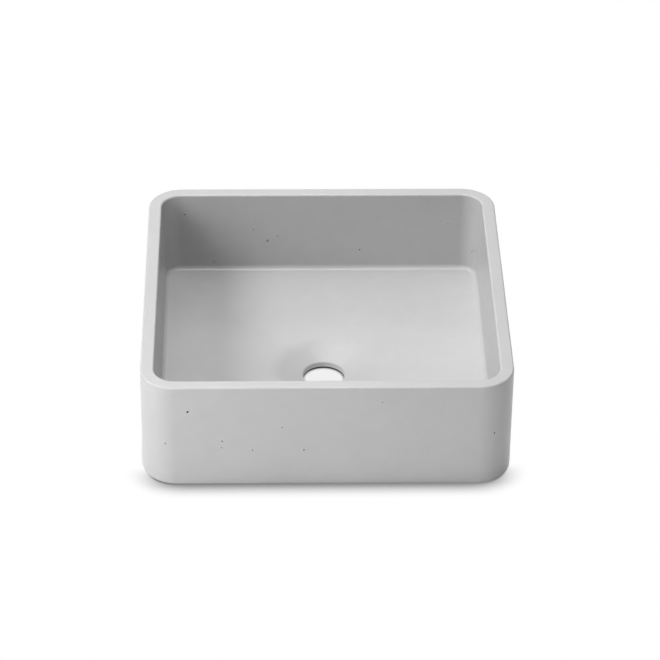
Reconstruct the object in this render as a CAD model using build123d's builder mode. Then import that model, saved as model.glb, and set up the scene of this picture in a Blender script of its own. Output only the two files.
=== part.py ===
from build123d import *
import os
from math import radians, tan

# A square countertop washbasin, cast in one piece in fine fibre concrete, on four thin rubber pads.
# Millimetres, +Z up, +X to the right and +Y to the back as seen by someone standing at the basin.
# The origin lies on the countertop, in the middle of the basin's footprint.

# Outer sizes of the casting
shell_width = 380.0
shell_depth = 380.0
shell_height = 120.0
corner_radius = 36.0
wall_thickness = 14.0

# The bowl: its walls lean in by the draft that frees the casting from its mould
wall_draft_degrees = 1.5

# The concrete under the floor: at the walls, at the edge of the round dish, and at the drain hole
edge_floor_thickness = 25.0
dish_floor_thickness = 15.0
web_thickness = 5.5

# The round dish and the drain hole in it, which lie a little in front of the middle
dish_radius = 52.0
drain_radius = 22.5
drain_forward = 5.0

# Roundings of the casting
rim_outer_round = 2.0
rim_inner_round = 2.0
base_round = 0.8
floor_round = 5.0
dish_round = 60.0
drain_round = 1.0

# The pads, stuck under the corners of the casting
pad_radius = 12.0
pad_thickness = 2.0
pad_round = 0.5
pad_edge_distance = 40.0

# Heights above the countertop
base_z = pad_thickness
rim_z = base_z + shell_height
floor_z = base_z + edge_floor_thickness
dish_z = base_z + dish_floor_thickness
web_z = base_z + web_thickness

# The bowl's plan at the rim, and where its walls meet the floor
bowl_depth = rim_z - floor_z
draft_inset = bowl_depth * tan(radians(wall_draft_degrees))
bowl_width = shell_width - 2 * wall_thickness
bowl_length = shell_depth - 2 * wall_thickness
bowl_corner_radius = corner_radius - wall_thickness
floor_width = bowl_width - 2 * draft_inset
floor_length = bowl_length - 2 * draft_inset
floor_corner_radius = bowl_corner_radius - draft_inset

# The floor's rounding can't be larger than the corners that it runs round
floor_round_used = min(floor_round, 0.8 * floor_corner_radius)

# How far an edge may stand from a height and still count as lying at it
level_slack = 0.01


def level_edges(piece, height):
    """The edges of a piece whose middle lies at one height."""
    return piece.edges().filter_by_position(Axis.Z, height - level_slack, height + level_slack)


os.makedirs("parts", exist_ok=True)

# The space inside the bowl, shaped like the core of the mould that forms it
with BuildPart() as bowl_core:
    # Between the walls, from the rim down to the floor
    with BuildSketch(Plane.XY.offset(rim_z)):
        RectangleRounded(bowl_width, bowl_length, bowl_corner_radius)
    extrude(amount=-bowl_depth, taper=wall_draft_degrees)

    # Over the floor, which falls from all four walls to the round dish
    with BuildSketch(Plane.XY.offset(floor_z)):
        RectangleRounded(floor_width, floor_length, floor_corner_radius)
    with BuildSketch(Plane.XY.offset(dish_z)):
        with Locations((0, -drain_forward)):
            Circle(dish_radius)
    loft()

    # The dish, which falls more steeply to the drain hole
    with BuildSketch(Plane.XY.offset(dish_z)):
        with Locations((0, -drain_forward)):
            Circle(dish_radius)
    with BuildSketch(Plane.XY.offset(web_z)):
        with Locations((0, -drain_forward)):
            Circle(drain_radius)
    loft()

    fillet(level_edges(bowl_core, floor_z), radius=floor_round_used)
    fillet(level_edges(bowl_core, dish_z), radius=dish_round)

    # The drain hole, open through the bottom of the casting
    with BuildSketch(Plane.XY.offset(web_z)):
        with Locations((0, -drain_forward)):
            Circle(drain_radius)
    extrude(amount=-web_thickness)
    fillet(level_edges(bowl_core, web_z), radius=drain_round)

# The casting: a rounded block less the bowl
with BuildPart() as basin_shell:
    with BuildSketch(Plane.XY.offset(base_z)):
        RectangleRounded(shell_width, shell_depth, corner_radius)
    extrude(amount=shell_height)
    base_face = basin_shell.faces().sort_by(Axis.Z)[0]
    fillet(base_face.outer_wire().edges(), radius=base_round)
    rim_face = basin_shell.faces().sort_by(Axis.Z)[-1]
    fillet(rim_face.outer_wire().edges(), radius=rim_outer_round)

    add(bowl_core.part, mode=Mode.SUBTRACT)
    rim_face = basin_shell.faces().sort_by(Axis.Z)[-1]
    fillet(rim_face.inner_wires().edges(), radius=rim_inner_round)

basin_shell.part.label = "basin_shell"
export_step(basin_shell.part, "parts/basin_shell.step")

# The pads, each named by the corner that it carries
pad_corners = {
    "base_pad_front_left": (-1, -1),
    "base_pad_front_right": (1, -1),
    "base_pad_back_left": (-1, 1),
    "base_pad_back_right": (1, 1),
}
pad_x = shell_width / 2 - pad_edge_distance
pad_y = shell_depth / 2 - pad_edge_distance

for pad_name, (side, end) in pad_corners.items():
    with BuildPart() as base_pad:
        with BuildSketch():
            with Locations((side * pad_x, end * pad_y)):
                Circle(pad_radius)
        extrude(amount=pad_thickness)
        fillet(level_edges(base_pad, 0), radius=pad_round)
    base_pad.part.label = pad_name
    export_step(base_pad.part, f"parts/{pad_name}.step")
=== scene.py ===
"""A square washbasin cast in fine grey concrete, on four thin rubber pads.

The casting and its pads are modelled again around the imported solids, at the same sizes, with what a
plain solid leaves out: the air holes and faint hollows of a cast surface, the grip ring of each pad and
the finish of every material. Lengths are in metres where nothing else is said, +Z is up, +X is to the
right and +Y to the back as seen by someone standing at the basin, and the origin lies on the countertop.
"""

import sys

import logging
import math
import random
from dataclasses import dataclass
from enum import Enum

import bmesh
import bpy
from mathutils import Matrix, Vector, noise
from mathutils.bvhtree import BVHTree


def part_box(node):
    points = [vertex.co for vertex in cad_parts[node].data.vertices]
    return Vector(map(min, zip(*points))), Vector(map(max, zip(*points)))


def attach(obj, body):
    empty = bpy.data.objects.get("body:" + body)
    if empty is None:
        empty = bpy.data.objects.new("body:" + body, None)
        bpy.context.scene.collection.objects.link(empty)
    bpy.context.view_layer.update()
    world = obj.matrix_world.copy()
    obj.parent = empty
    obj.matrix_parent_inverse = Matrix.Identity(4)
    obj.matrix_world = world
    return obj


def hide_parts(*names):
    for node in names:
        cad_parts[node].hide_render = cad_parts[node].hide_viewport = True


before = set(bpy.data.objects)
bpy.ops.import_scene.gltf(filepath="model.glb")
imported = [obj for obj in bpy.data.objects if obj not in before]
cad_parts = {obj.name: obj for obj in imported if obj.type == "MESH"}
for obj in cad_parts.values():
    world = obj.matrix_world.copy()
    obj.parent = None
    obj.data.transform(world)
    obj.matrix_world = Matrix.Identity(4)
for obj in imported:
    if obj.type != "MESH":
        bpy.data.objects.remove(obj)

MM = 0.001

# How far a corner may stand from a height and still count as lying at it
LEVEL_SLACK = 0.01 * MM

# The turn between two faces from which their edge is shaded sharp
SHARP_TURN = math.radians(32)

log = logging.getLogger("washbasin")


class Slot(Enum):
    """The record's material slots."""

    CONCRETE = "concrete"
    RUBBER = "pad_rubber"


class Side(Enum):
    """A surface of the casting, as the direction that meets it and how far back one stands, in metres.

    The distance is measured from the middle of the basin, so 0 looks from inside the bowl.
    """

    FRONT = ((0, 1, 0), 1.0)
    BACK = ((0, -1, 0), 1.0)
    LEFT = ((1, 0, 0), 1.0)
    RIGHT = ((-1, 0, 0), 1.0)
    UNDERSIDE = ((0, 0, 1), 1.0)
    TOP = ((0, 0, -1), 1.0)
    BOWL_FRONT = ((0, -1, 0), 0.0)
    BOWL_BACK = ((0, 1, 0), 0.0)
    BOWL_LEFT = ((-1, 0, 0), 0.0)
    BOWL_RIGHT = ((1, 0, 0), 0.0)

    def sight(self, across: float, along: float) -> tuple[Vector, Vector]:
        """Gives the line of sight to a place on this side.

        Args:
            across: The place's X, or its Y on the left and right sides.
            along: The place's height, or its Y on the underside and the top.

        Returns:
            The point to look from and the direction to look in.
        """
        direction, distance = Vector(self.value[0]), self.value[1]
        if direction.z:
            place = Vector((across, along, 0))
        elif direction.x:
            place = Vector((0, across, along))
        else:
            place = Vector((across, 0, along))
        return place - direction * distance, direction


@dataclass(frozen=True)
class AirHole:
    """A small pit that an air bubble left in the cast surface.

    Lengths are in millimetres. The pit lies across and along its side, the deepness is its depth in widths,
    and the stretch is how much longer than wide it is, along a line turned by some degrees.
    """

    side: Side
    across: float
    along: float
    width: float
    stretch: float = 1.0
    turn: float = 0.0
    deepness: float = 1.8


@dataclass(frozen=True)
class Grain:
    """A cloudy pattern: the length of one cloud, the finer layers in it, and how far it swings from 1."""

    size: float
    layers: int
    contrast: float


class Wiring:
    """A hand for wiring the nodes of one material."""

    def __init__(self, name: str) -> None:
        """Starts a material with its plain shader.

        Args:
            name: The material's name.
        """
        self.material = bpy.data.materials.new(name)
        self.material.use_nodes = True
        self.tree = self.material.node_tree
        self.shader = self.tree.nodes["Principled BSDF"]
        self.output = self.tree.nodes["Material Output"]

    def add(self, kind: str, **settings: object) -> bpy.types.Node:
        """Adds a node.

        Args:
            kind: The node's type.
            **settings: Properties to set on the node.

        Returns:
            The new node.
        """
        node = self.tree.nodes.new(kind)
        for name, value in settings.items():
            setattr(node, name, value)
        return node

    def join(self, source: bpy.types.NodeSocket, target: bpy.types.NodeSocket) -> None:
        """Links one socket to another."""
        self.tree.links.new(source, target)

    def place(self) -> bpy.types.NodeSocket:
        """Gives the socket of the place on the object, in metres."""
        return self.add("ShaderNodeTexCoord").outputs["Object"]

    def clouds(self, place: bpy.types.NodeSocket, grain: Grain) -> bpy.types.NodeSocket:
        """Adds a cloudy pattern.

        Args:
            place: Where the pattern is read.
            grain: The pattern's size and fineness.

        Returns:
            The pattern's value, about 0.5 on average.
        """
        node = self.add("ShaderNodeTexNoise")
        node.inputs["Scale"].default_value = 1 / grain.size
        node.inputs["Detail"].default_value = grain.layers
        self.join(place, node.inputs["Vector"])
        return node.outputs["Fac"]

    def spread(
        self, value: bpy.types.NodeSocket, low: float, high: float, start: float = 0.3, end: float = 0.7
    ) -> bpy.types.NodeSocket:
        """Maps a pattern to a range of values.

        Args:
            value: The pattern.
            low: What the range starts with.
            high: What the range ends with.
            start: The pattern's value that gives low. Clouds seldom go below 0.3.
            end: The pattern's value that gives high. Clouds seldom go above 0.7.

        Returns:
            The mapped value.
        """
        node = self.add("ShaderNodeMapRange")
        node.inputs["From Min"].default_value = start
        node.inputs["From Max"].default_value = end
        node.inputs["To Min"].default_value = low
        node.inputs["To Max"].default_value = high
        self.join(value, node.inputs["Value"])
        return node.outputs["Result"]

    def swing(self, value: bpy.types.NodeSocket, middle: float, reach: float) -> bpy.types.NodeSocket:
        """Lets a pattern swing about a middle value.

        Args:
            value: The pattern.
            middle: The value in the middle.
            reach: How far it swings to either side.

        Returns:
            The swinging value.
        """
        return self.spread(value, middle - reach, middle + reach)

    def combine(
        self, operation: str, first: bpy.types.NodeSocket, second: bpy.types.NodeSocket
    ) -> bpy.types.NodeSocket:
        """Works out one value from two.

        Args:
            operation: What to do with them, such as MULTIPLY or MAXIMUM.
            first: The first value.
            second: The second value.

        Returns:
            The result.
        """
        node = self.add("ShaderNodeMath", operation=operation)
        self.join(first, node.inputs[0])
        self.join(second, node.inputs[1])
        return node.outputs["Value"]

    def tint(
        self, strength: bpy.types.NodeSocket, colour: tuple[float, float, float]
    ) -> bpy.types.NodeSocket:
        """Scales a colour by a value.

        Args:
            strength: The value.
            colour: The colour at a value of 1.

        Returns:
            The scaled colour.
        """
        node = self.add("ShaderNodeVectorMath", operation="SCALE")
        node.inputs[0].default_value = colour
        self.join(strength, node.inputs["Scale"])
        return node.outputs["Vector"]

    def relief(self, height: bpy.types.NodeSocket, depth: float) -> None:
        """Roughens the shader's surface.

        Args:
            height: The relief's height, from 0 to 1.
            depth: The depth of a height of 1, in metres.
        """
        node = self.add("ShaderNodeBump")
        node.inputs["Distance"].default_value = depth
        self.join(height, node.inputs["Height"])
        self.join(node.outputs["Normal"], self.shader.inputs["Normal"])


@dataclass(frozen=True)
class CastConcrete:
    """Fine light concrete from a smooth mould, with a matt sealer."""

    name: str = "cast_concrete"
    colour: tuple[float, float, float] = (0.45, 0.45, 0.45)
    clouds: Grain = Grain(85 * MM, 3, 0.02)
    patches: Grain = Grain(14 * MM, 4, 0.015)
    sand: Grain = Grain(0.9 * MM, 2, 0.025)
    sand_depth: float = 0.012 * MM
    roughness: float = 0.32
    roughness_spread: float = 0.03
    specular: float = 0.36

    def material(self) -> bpy.types.Material:
        """Builds the material.

        Returns:
            Clouded grey with fine sand in it, and a relief as fine as that sand.
        """
        wiring = Wiring(self.name)
        place = wiring.place()
        clouds = wiring.clouds(place, self.clouds)
        patches = wiring.clouds(place, self.patches)
        sand = wiring.clouds(place, self.sand)

        clouded = wiring.swing(clouds, 1, self.clouds.contrast)
        patched = wiring.combine("MULTIPLY", clouded, wiring.swing(patches, 1, self.patches.contrast))
        shade = wiring.combine("MULTIPLY", patched, wiring.swing(sand, 1, self.sand.contrast))
        wiring.join(wiring.tint(shade, self.colour), wiring.shader.inputs["Base Color"])
        roughness = wiring.swing(patches, self.roughness, self.roughness_spread)
        wiring.join(roughness, wiring.shader.inputs["Roughness"])
        wiring.shader.inputs["Specular IOR Level"].default_value = self.specular
        wiring.relief(sand, self.sand_depth)
        return wiring.material


@dataclass(frozen=True)
class PadRubber:
    """Matt black rubber, faintly grained by its mould."""

    name: str = "black_rubber"
    colour: tuple[float, float, float] = (0.05, 0.05, 0.05)
    grain: Grain = Grain(0.5 * MM, 2, 0.12)
    grain_depth: float = 0.02 * MM
    roughness: float = 0.8
    roughness_spread: float = 0.06

    def material(self) -> bpy.types.Material:
        """Builds the material.

        Returns:
            Near black with a fine grain in its colour, sheen and relief.
        """
        wiring = Wiring(self.name)
        grain = wiring.clouds(wiring.place(), self.grain)
        shade = wiring.swing(grain, 1, self.grain.contrast)
        wiring.join(wiring.tint(shade, self.colour), wiring.shader.inputs["Base Color"])
        roughness = wiring.swing(grain, self.roughness, self.roughness_spread)
        wiring.join(roughness, wiring.shader.inputs["Roughness"])
        wiring.relief(grain, self.grain_depth)
        return wiring.material


@dataclass(frozen=True)
class StudioWhite:
    """The floor's white card: plain card to the light, and white with a soft contact shadow to the eye.

    A thin dark shadow lies under the sides and the drain hole, and a wider soft one lies before the front.
    As the light comes from the left, the wide shadow runs a little further back on the right. A little less
    light than outside comes down through the drain hole.

    Attributes:
        front_y: The Y of the object's front.
        name: The material's name.
        reflectance: The share of the light that the card throws back.
        thin_reach: How far the thin shadow reaches.
        thin_strength: How dark the thin shadow is.
        wide_reach: How far the wide shadow reaches.
        wide_strength: How dark the wide shadow is.
        front_run: The length along the sides in which the wide shadow fades out, and then the thin one in.
        lean: How much further back that happens for each metre to the right.
        falloff: How quickly both shadows pale, as a power.
        darkest_at_front: The card's least brightness at the front.
        darkest_at_sides: The card's least brightness further back.
        light_in_hole: The card's brightness under the drain hole.
        hole_reach: How far from the middle it keeps that brightness.
        hole_fade: The length in which it then rises to the full one.
        shadow_samples: The number of directions in which a shadow is looked for.
    """

    front_y: float
    name: str = "white_card"
    reflectance: float = 0.93
    thin_reach: float = 4 * MM
    thin_strength: float = 2.4
    wide_reach: float = 24 * MM
    wide_strength: float = 1.85
    front_run: float = 32 * MM
    lean: float = 0.01
    falloff: float = 1.3
    darkest_at_front: float = 0.27
    darkest_at_sides: float = 0.03
    light_in_hole: float = 0.87
    hole_reach: float = 40 * MM
    hole_fade: float = 40 * MM
    shadow_samples: int = 16

    def material(self) -> bpy.types.Material:
        """Builds the material.

        Returns:
            The card.
        """
        wiring = Wiring(self.name)
        wiring.tree.nodes.remove(wiring.shader)
        card = wiring.add("ShaderNodeBsdfDiffuse")
        card.inputs["Color"].default_value = (self.reflectance,) * 3 + (1.0,)
        seen = wiring.add("ShaderNodeEmission")
        wiring.join(self.contact_shadow(wiring), seen.inputs["Color"])
        show_background(
            wiring.tree, card.outputs["BSDF"], seen.outputs["Emission"], wiring.output.inputs["Surface"]
        )
        return wiring.material

    def contact_shadow(self, wiring: Wiring) -> bpy.types.NodeSocket:
        """Darkens the card where the object is close over it.

        Args:
            wiring: The card's nodes.

        Returns:
            A value from about 0 under the object to 1 where nothing is near.
        """
        place = wiring.place()
        backwards = wiring.add("ShaderNodeVectorMath", operation="DOT_PRODUCT")
        wiring.join(place, backwards.inputs[0])
        backwards.inputs[1].default_value = (-self.lean, 1, 0)
        along = backwards.outputs["Value"]
        front, middle = self.front_y, self.front_y + self.front_run
        back = middle + self.front_run
        thin = wiring.spread(along, self.thin_strength, 0, back, middle)
        wide = wiring.spread(along, 0, self.wide_strength, middle, front)
        hidden = wiring.combine(
            "MAXIMUM",
            self.shadow(wiring, self.thin_reach, thin),
            self.shadow(wiring, self.wide_reach, wide),
        )
        lit = wiring.spread(hidden, 1, 0, 0, 1)
        darkest = wiring.spread(along, self.darkest_at_sides, self.darkest_at_front, middle, front)
        seen = wiring.combine("MAXIMUM", lit, darkest)
        return wiring.combine("MULTIPLY", seen, self.hole_light(wiring, place))

    def hole_light(self, wiring: Wiring, place: bpy.types.NodeSocket) -> bpy.types.NodeSocket:
        """Dims the card a little under the drain hole.

        Args:
            wiring: The card's nodes.
            place: The place on the card.

        Returns:
            A value that rises from the light in the hole to 1 around it.
        """
        away = wiring.add("ShaderNodeVectorMath", operation="LENGTH")
        wiring.join(place, away.inputs[0])
        full = self.hole_reach + self.hole_fade
        return wiring.spread(away.outputs["Value"], self.light_in_hole, 1, self.hole_reach, full)

    def shadow(
        self, wiring: Wiring, reach: float, strength: bpy.types.NodeSocket
    ) -> bpy.types.NodeSocket:
        """Measures how much of the light from above the object hides.

        Args:
            wiring: The card's nodes.
            reach: How far the shadow reaches.
            strength: How dark it is where everything is hidden.

        Returns:
            A value of 0 in the open, and of the strength where everything is hidden.
        """
        openness = wiring.add("ShaderNodeAmbientOcclusion", samples=self.shadow_samples)
        openness.inputs["Distance"].default_value = reach
        hidden = wiring.spread(openness.outputs["AO"], 1, 0, 0, 1)
        falloff = wiring.add("ShaderNodeMath", operation="POWER")
        wiring.join(hidden, falloff.inputs[0])
        falloff.inputs[1].default_value = self.falloff
        return wiring.combine("MULTIPLY", falloff.outputs["Value"], strength)


def seen_directly(tree: bpy.types.NodeTree) -> bpy.types.NodeSocket:
    """Tells the rays that show a background from those that only carry its light.

    Args:
        tree: The nodes to add to.

    Returns:
        A value of 1 for what the eye sees, straight or in a gloss or through glass, and 0 for the rest.
    """
    light_path = tree.nodes.new("ShaderNodeLightPath")
    total = light_path.outputs["Is Camera Ray"]
    for name in ("Is Glossy Ray", "Is Transmission Ray"):
        either = tree.nodes.new("ShaderNodeMath")
        either.operation = "MAXIMUM"
        tree.links.new(total, either.inputs[0])
        tree.links.new(light_path.outputs[name], either.inputs[1])
        total = either.outputs["Value"]
    return total


def show_background(
    tree: bpy.types.NodeTree,
    lit: bpy.types.NodeSocket,
    seen: bpy.types.NodeSocket,
    end: bpy.types.NodeSocket,
) -> None:
    """Gives a background one shader for the light and another for the eye.

    Args:
        tree: The nodes to add to.
        lit: The shader that lights the object.
        seen: The shader that the eye sees, straight or in a gloss or through glass.
        end: The socket that the two are joined for.
    """
    mix = tree.nodes.new("ShaderNodeMixShader")
    tree.links.new(seen_directly(tree), mix.inputs["Fac"])
    tree.links.new(lit, mix.inputs[1])
    tree.links.new(seen, mix.inputs[2])
    tree.links.new(mix.outputs["Shader"], end)


def piece_from(shape: bmesh.types.BMesh, name: str) -> bpy.types.Object:
    """Turns a finished shape into an object of the scene.

    Args:
        shape: The shape, in place. It is freed.
        name: The piece's name.

    Returns:
        The new object, at the origin.
    """
    mesh = bpy.data.meshes.new(name)
    shape.to_mesh(mesh)
    shape.free()
    piece = bpy.data.objects.new(name, mesh)
    bpy.context.scene.collection.objects.link(piece)
    return piece


def raise_flat(shape: bmesh.types.BMesh, height: float) -> None:
    """Raises a flat shape into a solid.

    Args:
        shape: The shape.
        height: The solid's height.
    """
    raised = bmesh.ops.extrude_face_region(shape, geom=shape.faces[:], use_keep_orig=True)
    top = [part for part in raised["geom"] if isinstance(part, bmesh.types.BMVert)]
    bmesh.ops.translate(shape, verts=top, vec=(0, 0, height))
    bmesh.ops.recalc_face_normals(shape, faces=shape.faces[:])


def face_at(shape: bmesh.types.BMesh, height: float) -> bmesh.types.BMFace:
    """Finds the face whose middle lies nearest to a height."""
    return min(shape.faces, key=lambda face: abs(face.calc_center_median().z - height))


def creases(
    shape: bmesh.types.BMesh, height: float, least_turn: float, beyond: float
) -> list[bmesh.types.BMEdge]:
    """Finds the creased edges that lie at one height.

    Args:
        shape: The shape to look through.
        height: The height.
        least_turn: The least angle between the faces at a crease.
        beyond: The distance from the Z axis within which edges are left out.

    Returns:
        The edges.
    """
    found = []
    for edge in shape.edges:
        middle = (edge.verts[0].co + edge.verts[1].co) / 2
        level = all(abs(corner.co.z - height) < LEVEL_SLACK for corner in edge.verts)
        if level and middle.xy.length > beyond and edge.calc_face_angle(0) > least_turn:
            found.append(edge)
    return found


def round_off(
    shape: bmesh.types.BMesh, edges: list[bmesh.types.BMEdge], offset: float, segments: int
) -> None:
    """Rounds a ring of edges.

    Args:
        shape: The shape.
        edges: The edges to round.
        offset: How far the rounding reaches from the edges.
        segments: How many faces the rounding has across.
    """
    bmesh.ops.bevel(
        shape,
        geom=edges,
        affect="EDGES",
        offset=offset,
        segments=segments,
        profile=0.5,
        material=-1,
        clamp_overlap=False,
    )


def cut_with(piece: bpy.types.Object, tool: bpy.types.Object) -> None:
    """Cuts a piece with a tool, and clears the tool away.

    Args:
        piece: The piece. Its mesh is replaced by the cut one.
        tool: The tool, which is deleted.
    """
    cut = piece.modifiers.new("cut", "BOOLEAN")
    cut.operation = "DIFFERENCE"
    cut.solver = "EXACT"
    cut.object = tool
    depsgraph = bpy.context.evaluated_depsgraph_get()
    mesh = bpy.data.meshes.new_from_object(piece.evaluated_get(depsgraph))
    piece.modifiers.clear()
    piece.data = mesh
    bpy.data.objects.remove(tool)


def dress(piece: bpy.types.Object, finish: bpy.types.Material) -> None:
    """Shades a piece smooth, except across its sharp edges, and gives it its material.

    Args:
        piece: The piece.
        finish: The material.
    """
    shape = bmesh.new()
    shape.from_mesh(piece.data)
    for face in shape.faces:
        face.smooth = True
    for edge in shape.edges:
        edge.smooth = edge.calc_face_angle(0) < SHARP_TURN
    shape.to_mesh(piece.data)
    shape.free()
    piece.modifiers.new("even_shading", "WEIGHTED_NORMAL").keep_sharp = True
    piece.data.materials.clear()
    piece.data.materials.append(finish)


@dataclass
class BasinCasting:
    """The concrete casting: four walls, and a floor that falls to a round dish and its drain hole."""

    # The box that it fills
    low: Vector
    high: Vector

    # The walls, which are this thick at the rim and lean in towards the floor
    corner_radius: float = 36 * MM
    wall: float = 14 * MM
    wall_draft: float = math.radians(1.5)

    # The concrete under the floor: at the walls, at the edge of the dish, and at the drain hole
    edge_floor: float = 25 * MM
    dish_floor: float = 15 * MM
    web: float = 5.5 * MM

    # The round dish and the drain hole, which lie a little in front of the middle
    dish_radius: float = 52 * MM
    drain_radius: float = 22.5 * MM
    drain_forward: float = 5 * MM

    # The roundings, and how many faces each has across
    rim_round: float = 2 * MM
    rim_steps: int = 6
    base_round: float = 0.8 * MM
    base_steps: int = 4
    floor_round: float = 5 * MM
    floor_steps: int = 8
    dish_round: float = 60 * MM
    dish_steps: int = 8
    drain_round: float = 1 * MM
    drain_steps: int = 4

    # The least turn of a crease: of the sharp ones, and of the faint one round the dish
    sharp_crease: float = math.radians(30)
    faint_crease: float = math.radians(2)

    # The mesh: the faces round a corner and along a side, and the length that long edges are brought down
    # to, in rounds of so many cuts each
    corner_steps: int = 20
    side_steps: int = 24
    mesh_step: float = 9 * MM
    mesh_cuts: tuple[int, ...] = (7, 3, 1)

    # The faint hollows in the surface: how deep they may be, and the length of one
    hollow_depth: float = 0.08 * MM
    hollow_length: float = 70 * MM

    def __post_init__(self) -> None:
        """Works out the heights and the drain hole's axis."""
        self.rim_z = self.high.z
        self.floor_z = self.low.z + self.edge_floor
        self.dish_z = self.low.z + self.dish_floor
        self.web_z = self.low.z + self.web
        self.drain_axis = Vector((0, -self.drain_forward, 0))

    def build(self, finish: bpy.types.Material) -> bpy.types.Object:
        """Models the casting.

        Args:
            finish: The concrete.

        Returns:
            The finished piece.
        """
        shape = self.block()
        self.hollow_out(shape)
        self.open_drain(shape)
        self.round_edges(shape)
        self.even_out(shape)
        self.settle(shape)
        surface = BVHTree.FromBMesh(shape)
        piece = piece_from(shape, "basin_casting")
        cut_with(piece, piece_from(AirBubbles(self).build(surface), "air_bubbles"))
        dress(piece, finish)
        return piece

    def block(self) -> bmesh.types.BMesh:
        """Makes the solid block that the walls and the floor are left of.

        Returns:
            A block with rounded corners, whose straight sides are divided evenly.
        """
        shape = bmesh.new()
        size = self.high - self.low
        middle = (self.low + self.high) / 2
        place = Matrix.LocRotScale((middle.x, middle.y, self.low.z), None, (size.x / 2, size.y / 2, 1))
        bmesh.ops.create_grid(shape, x_segments=1, y_segments=1, size=1, matrix=place)
        bmesh.ops.bevel(
            shape,
            geom=shape.verts[:],
            affect="VERTICES",
            offset=self.corner_radius,
            segments=self.corner_steps,
            profile=0.5,
            material=-1,
        )
        straight = [edge for edge in shape.edges if edge.calc_length() > self.corner_radius]
        bmesh.ops.bisect_edges(shape, edges=straight, cuts=self.side_steps - 1)
        raise_flat(shape, size.z)
        return shape

    def hollow_out(self, shape: bmesh.types.BMesh) -> None:
        """Sinks the bowl into the block, with walls that lean in towards the floor.

        Args:
            shape: The block.
        """
        top = face_at(shape, self.rim_z)
        bmesh.ops.inset_region(shape, faces=[top], thickness=self.wall, use_even_offset=True)
        depth = self.rim_z - self.floor_z
        bmesh.ops.inset_region(
            shape,
            faces=[top],
            thickness=depth * math.tan(self.wall_draft),
            depth=-depth,
            use_even_offset=True,
        )

    def open_drain(self, shape: bmesh.types.BMesh) -> None:
        """Lets the floor fall to the dish and the drain hole, and opens the hole through the base.

        Args:
            shape: The block with its bowl.
        """
        floor = face_at(shape, self.floor_z)
        base = face_at(shape, self.low.z)
        ring, base_ring = list(floor.edges), list(base.edges)
        bmesh.ops.delete(shape, geom=[floor, base], context="FACES_ONLY")
        for radius, height in (
            (self.dish_radius, self.dish_z),
            (self.drain_radius, self.web_z),
            (self.drain_radius, self.low.z),
        ):
            ring = self.ring_inward(shape, ring, radius, height)
        bmesh.ops.bridge_loops(shape, edges=ring + base_ring)
        bmesh.ops.recalc_face_normals(shape, faces=shape.faces[:])

    def ring_inward(
        self,
        shape: bmesh.types.BMesh,
        ring: list[bmesh.types.BMEdge],
        radius: float,
        height: float,
    ) -> list[bmesh.types.BMEdge]:
        """Carries the surface on from one ring to a circle round the drain hole's axis.

        Args:
            shape: The shape.
            ring: The open ring that the surface ends with.
            radius: The circle's radius.
            height: The circle's height.

        Returns:
            The edges of the circle.
        """
        grown = bmesh.ops.extrude_edge_only(shape, edges=ring)["geom"]
        for corner in grown:
            if isinstance(corner, bmesh.types.BMVert):
                away = (corner.co - self.drain_axis).xy.normalized() * radius
                corner.co = self.drain_axis + Vector((away.x, away.y, height))
        return [edge for edge in grown if isinstance(edge, bmesh.types.BMEdge)]

    def round_edges(self, shape: bmesh.types.BMesh) -> None:
        """Rounds the rim, the lower edge, the foot of the walls, the dish and the drain hole.

        The drain hole's foot lies at the height of the lower edge too, and stays sharp.

        Args:
            shape: The casting with sharp edges.
        """
        dish_slope = math.atan2(self.dish_z - self.web_z, self.dish_radius - self.drain_radius)
        floor_run = (self.high.x - self.low.x) / 2 - self.wall - self.dish_radius
        floor_slope = math.atan2(self.floor_z - self.dish_z, floor_run)
        dish_offset = self.dish_round * math.tan((dish_slope - floor_slope) / 2)
        for height, least_turn, beyond, offset, steps in (
            (self.rim_z, self.sharp_crease, 0, self.rim_round, self.rim_steps),
            (self.low.z, self.sharp_crease, self.dish_radius, self.base_round, self.base_steps),
            (self.floor_z, self.sharp_crease, 0, self.floor_round, self.floor_steps),
            (self.dish_z, self.faint_crease, 0, dish_offset, self.dish_steps),
            (self.web_z, self.sharp_crease, 0, self.drain_round, self.drain_steps),
        ):
            round_off(shape, creases(shape, height, least_turn, beyond), offset, steps)

    def even_out(self, shape: bmesh.types.BMesh) -> None:
        """Divides the long faces, so that the mesh is fine enough to hold faint hollows.

        Args:
            shape: The casting.
        """
        for cuts in self.mesh_cuts:
            longest = self.mesh_step * (cuts + 1)
            long_edges = [edge for edge in shape.edges if edge.calc_length() > longest]
            bmesh.ops.subdivide_edges(shape, edges=long_edges, cuts=cuts, use_grid_fill=True)

    def settle(self, shape: bmesh.types.BMesh) -> None:
        """Sinks the surface a little here and there, as a cast one is never quite flat.

        Args:
            shape: The casting.
        """
        shape.normal_update()
        for corner in shape.verts:
            swell = noise.noise(corner.co / self.hollow_length)
            corner.co -= corner.normal * self.hollow_depth * (1 + swell) / 2


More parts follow.
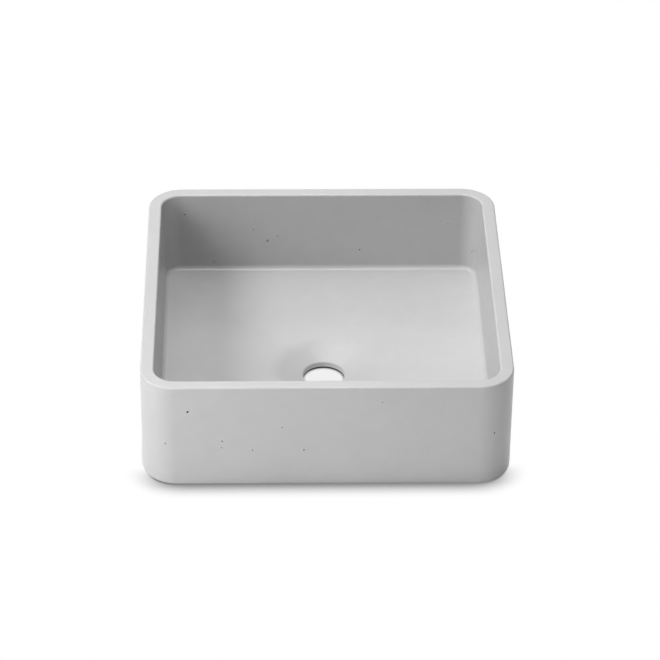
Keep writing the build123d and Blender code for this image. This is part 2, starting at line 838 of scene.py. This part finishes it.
# The pits that the reference shows
SHOWN_HOLES = (
    AirHole(Side.FRONT, -141.5, 93, 2.6),
    AirHole(Side.FRONT, -165, 52, 1.4),
    AirHole(Side.FRONT, -107, 56, 1.5),
    AirHole(Side.FRONT, -108, 48, 1.0),
    AirHole(Side.FRONT, -111, 45, 0.8, 1.6, 60),
    AirHole(Side.FRONT, -76.5, 44.5, 1.1, 1.8, 25),
    AirHole(Side.FRONT, -46, 73, 1.35),
    AirHole(Side.FRONT, -24, 44.5, 1.9),
    AirHole(Side.FRONT, 55, 104, 1.0),
    AirHole(Side.FRONT, 170, 62, 1.8),
    AirHole(Side.BOWL_BACK, -151.5, 97.5, 1.7),
    AirHole(Side.BOWL_BACK, -75.5, 78, 1.3),
    AirHole(Side.BOWL_BACK, -60, 63, 1.9),
    AirHole(Side.BOWL_BACK, -49, 69, 1.3),
    AirHole(Side.BOWL_BACK, -119.5, 36, 2.0),
    AirHole(Side.BOWL_BACK, -165.5, 32, 2.0),
    AirHole(Side.BOWL_BACK, -109.5, 41.5, 0.8),
    AirHole(Side.BOWL_BACK, 141, 84.5, 1.6),
    AirHole(Side.BOWL_BACK, 43, 51, 1.9),
    AirHole(Side.BOWL_RIGHT, 168, 52, 1.6),
    AirHole(Side.BOWL_RIGHT, 164, 55.5, 1.5),
    AirHole(Side.TOP, 37.5, 118.5, 0.6, 4.0, 90, 0.6),
)


@dataclass
class AirBubbles:
    """The air bubbles that the pits in the casting are cut with. Lengths are in millimetres."""

    casting: BasinCasting
    seed: int = 7

    # How far scattered pits keep from the corners, the foot and the rim, outside and in the bowl
    corner_margin: float = 12
    foot_margin: float = 6
    rim_margin: float = 8
    bowl_corner_margin: float = 14
    bowl_foot_margin: float = 8

    # The widths of scattered pits, most near the least, and how far they may be stretched and turned
    least_width: float = 0.9
    width_spread: float = 1.2
    most_stretch: float = 1.4
    most_turn: float = 180

    # The bubbles: how uneven they are, how deep their middle lies as a share of their half height, and how
    # often their faces are divided
    unevenness: float = 0.25
    sink: float = 0.5
    subdivisions: int = 2

    def hidden_holes(self) -> list[AirHole]:
        """Scatters pits over the sides that the reference hides.

        Returns:
            The pits, the same ones each time.
        """
        casting = self.casting
        dice = random.Random(self.seed)
        half_width = casting.high.x / MM
        reach = half_width - self.corner_margin
        bowl_reach = half_width - casting.wall / MM - self.bowl_corner_margin
        foot, head = casting.low.z / MM + self.foot_margin, casting.rim_z / MM - self.rim_margin
        bowl_foot = casting.floor_z / MM + self.bowl_foot_margin
        holes = []
        for side, count, width, low, high in (
            (Side.BACK, 12, reach, foot, head),
            (Side.LEFT, 12, reach, foot, head),
            (Side.RIGHT, 12, reach, foot, head),
            (Side.BOWL_FRONT, 9, bowl_reach, bowl_foot, head),
            (Side.BOWL_LEFT, 6, bowl_reach, bowl_foot, head),
            (Side.UNDERSIDE, 60, reach, -reach, reach),
        ):
            for _ in range(count):
                across, along = dice.uniform(-width, width), dice.uniform(low, high)
                opening = self.least_width + self.width_spread * dice.random() ** 2
                stretch, turn = dice.uniform(1, self.most_stretch), dice.uniform(0, self.most_turn)
                holes.append(AirHole(side, across, along, opening, stretch, turn))
        return holes

    def build(self, surface: BVHTree) -> bmesh.types.BMesh:
        """Models the bubbles.

        Args:
            surface: The casting's surface.

        Returns:
            A rounded lump for each pit that meets the surface.
        """
        shape = bmesh.new()
        for hole in [*SHOWN_HOLES, *self.hidden_holes()]:
            start, direction = hole.side.sight(hole.across * MM, hole.along * MM)
            spot, normal, _, _ = surface.ray_cast(start, direction)
            if spot is None:
                continue
            # The bubble's middle lies under the surface, so that it is wider there than the pit's opening
            height = hole.width * hole.deepness * MM / (1 + self.sink)
            half = hole.width * MM / 2 / math.sqrt(1 - self.sink**2)
            turned = normal.to_track_quat("Z", "Y").to_matrix().to_4x4()
            place = (
                Matrix.Translation(spot - normal * height * self.sink)
                @ turned
                @ Matrix.Rotation(math.radians(hole.turn), 4, "Z")
                @ Matrix.Diagonal((half, half * hole.stretch, height, 1))
            )
            lump = bmesh.ops.create_icosphere(shape, subdivisions=self.subdivisions, radius=1)["verts"]
            for corner in lump:
                corner.co *= 1 + self.unevenness * noise.noise(corner.co + spot / MM)
            bmesh.ops.transform(shape, matrix=place, verts=lump)
        return shape


@dataclass
class BasePads:
    """Four round rubber pads, stuck under the corners of the casting."""

    nodes: tuple[str, ...]
    steps: int = 64
    edge_round: float = 0.5 * MM
    edge_steps: int = 4

    # The grip ring in the underside, a groove with two slanting sides
    groove_inset: float = 3.5 * MM
    groove_width: float = 0.8 * MM
    groove_side: float = 0.2 * MM
    groove_depth: float = 0.35 * MM

    def build(self, finish: bpy.types.Material) -> list[bpy.types.Object]:
        """Models the pads.

        Args:
            finish: The rubber.

        Returns:
            The finished pieces, one for each node.
        """
        pieces = []
        for node in self.nodes:
            piece = piece_from(self.pad(*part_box(node)), node.replace("base_pad", "rubber_pad"))
            dress(piece, finish)
            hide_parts(node)
            pieces.append(piece)
        return pieces

    def pad(self, low: Vector, high: Vector) -> bmesh.types.BMesh:
        """Models one pad.

        Args:
            low: The lowest corner of its box.
            high: The highest corner of its box.

        Returns:
            A disc with a rounded lower edge and a grip ring in its underside.
        """
        shape = bmesh.new()
        middle = (low + high) / 2
        place = Matrix.Translation((middle.x, middle.y, low.z))
        bmesh.ops.create_circle(
            shape, cap_ends=True, segments=self.steps, radius=(high.x - low.x) / 2, matrix=place
        )
        raise_flat(shape, high.z - low.z)
        base = face_at(shape, low.z)
        edges = list(base.edges)
        for thickness, depth in (
            (self.groove_inset, 0),
            (self.groove_side, -self.groove_depth),
            (self.groove_width - 2 * self.groove_side, 0),
            (self.groove_side, self.groove_depth),
        ):
            bmesh.ops.inset_region(
                shape, faces=[base], thickness=thickness, depth=depth, use_even_offset=True
            )
        round_off(shape, edges, self.edge_round, self.edge_steps)
        return shape


@dataclass(frozen=True)
class Lamp:
    """A round soft lamp that points at the object.

    Angles are in degrees, and the azimuth runs from +X towards +Y. The strength is how bright a white card
    at the object, facing the lamp, looks.
    """

    name: str
    azimuth: float
    elevation: float
    strength: float
    distance: float = 2.0
    width: float = 0.7


@dataclass(frozen=True)
class Viewpoint:
    """Where the camera stands. Lengths are in millimetres and angles in degrees."""

    place: tuple[float, float, float] = (-62.235, -2641.708, 1880.304)
    heading: float = -1.486
    tilt_down: float = 34.530
    roll: float = 0.608
    lens: float = 163.77
    sensor: float = 36.0


@dataclass
class Studio:
    """A white floor, soft lamps and the camera.

    Attributes:
        lamps: The lamps.
        aim: The point that they shine at.
        front_y: The Y of the object's front.
        viewpoint: Where the camera stands.
        view_reach: How far the camera sees.
        floor_radius: The round floor's radius.
        floor_steps: The number of its sides.
        sky_strength: How bright the sky is as a light.
    """

    lamps: tuple[Lamp, ...]
    aim: Vector
    front_y: float
    viewpoint: Viewpoint = Viewpoint()
    view_reach: float = 100.0
    floor_radius: float = 9.0
    floor_steps: int = 96
    sky_strength: float = 0.192

    def build(self) -> None:
        """Sets up the floor, the sky, the lamps and the camera."""
        self.lay_floor()
        self.light_sky()
        for lamp in self.lamps:
            self.hang(lamp)
        self.set_camera()
        bpy.context.scene.view_settings.view_transform = "Standard"

    def lay_floor(self) -> None:
        """Lays the white floor under the object."""
        shape = bmesh.new()
        bmesh.ops.create_circle(
            shape, cap_ends=True, segments=self.floor_steps, radius=self.floor_radius
        )
        floor = piece_from(shape, "studio_floor")
        floor.data.materials.append(StudioWhite(self.front_y).material())

    def light_sky(self) -> None:
        """Gives the object an even light from all round, and the camera a white background."""
        sky = bpy.data.worlds.new("studio_sky")
        bpy.context.scene.world = sky
        sky.use_nodes = True
        tree = sky.node_tree
        glow = tree.nodes["Background"]
        glow.inputs["Strength"].default_value = self.sky_strength
        white = tree.nodes.new("ShaderNodeBackground")
        for background in (glow, white):
            background.inputs["Color"].default_value = (1, 1, 1, 1)
        end = tree.nodes["World Output"].inputs["Surface"]
        show_background(tree, glow.outputs["Background"], white.outputs["Background"], end)

    def hang(self, lamp: Lamp) -> None:
        """Hangs one lamp.

        Args:
            lamp: The lamp.
        """
        light = bpy.data.lights.new(lamp.name, "AREA")
        light.shape = "DISK"
        light.size = lamp.width
        light.energy = lamp.strength * (math.pi * lamp.distance) ** 2
        holder = bpy.data.objects.new(lamp.name, light)
        azimuth, elevation = math.radians(lamp.azimuth), math.radians(lamp.elevation)
        away = Vector(
            (
                math.cos(azimuth) * math.cos(elevation),
                math.sin(azimuth) * math.cos(elevation),
                math.sin(elevation),
            )
        )
        holder.location = self.aim + away * lamp.distance
        holder.rotation_euler = away.to_track_quat("Z", "Y").to_euler()
        holder.visible_camera = False
        bpy.context.scene.collection.objects.link(holder)

    def set_camera(self) -> None:
        """Stands the camera where the reference was taken from."""
        view = self.viewpoint
        camera = bpy.data.cameras.new("camera")
        camera.lens = view.lens
        camera.sensor_width = view.sensor
        camera.clip_end = self.view_reach
        holder = bpy.data.objects.new("camera", camera)
        holder.matrix_world = (
            Matrix.Translation(Vector(view.place) * MM)
            @ Matrix.Rotation(math.radians(view.heading), 4, "Z")
            @ Matrix.Rotation(math.radians(90 - view.tilt_down), 4, "X")
            @ Matrix.Rotation(math.radians(view.roll), 4, "Z")
        )
        bpy.context.scene.collection.objects.link(holder)
        bpy.context.scene.camera = holder


# The lamps, of which the one on the left is the strongest
LAMPS = (
    Lamp("overhead", 0, 90, 0.32, width=0.5),
    Lamp("overhead_back", 90, 80, 0.185),
    Lamp("left", 180, 45, 0.515, distance=3.0, width=1.05),
    Lamp("left_back", 120, 60, 0.13),
    Lamp("back", 90, 45, 0.065),
    Lamp("front_left", 220, 30, 0.22, distance=3.0, width=1.65),
    Lamp("front_low", 240, 15, 0.24, distance=1.1, width=0.5),
)


def main() -> None:
    """Builds the washbasin and its studio."""
    logging.basicConfig(level=logging.INFO, format="%(name)s: %(message)s", stream=sys.stdout)
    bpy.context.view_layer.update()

    low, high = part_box("basin_shell")
    casting = BasinCasting(low, high).build(CastConcrete().material())
    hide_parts("basin_shell")
    pad_nodes = tuple(sorted(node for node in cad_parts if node.startswith("base_pad")))
    pads = BasePads(pad_nodes).build(PadRubber().material())
    for piece in [casting, *pads]:
        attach(piece, "root")
        log.info("%s: %d faces", piece.name, len(piece.data.polygons))

    aim = Vector((0, 0, casting.dimensions.z / 2))
    Studio(LAMPS, aim, front_y=low.y).build()


if __name__ == "__main__":
    main()
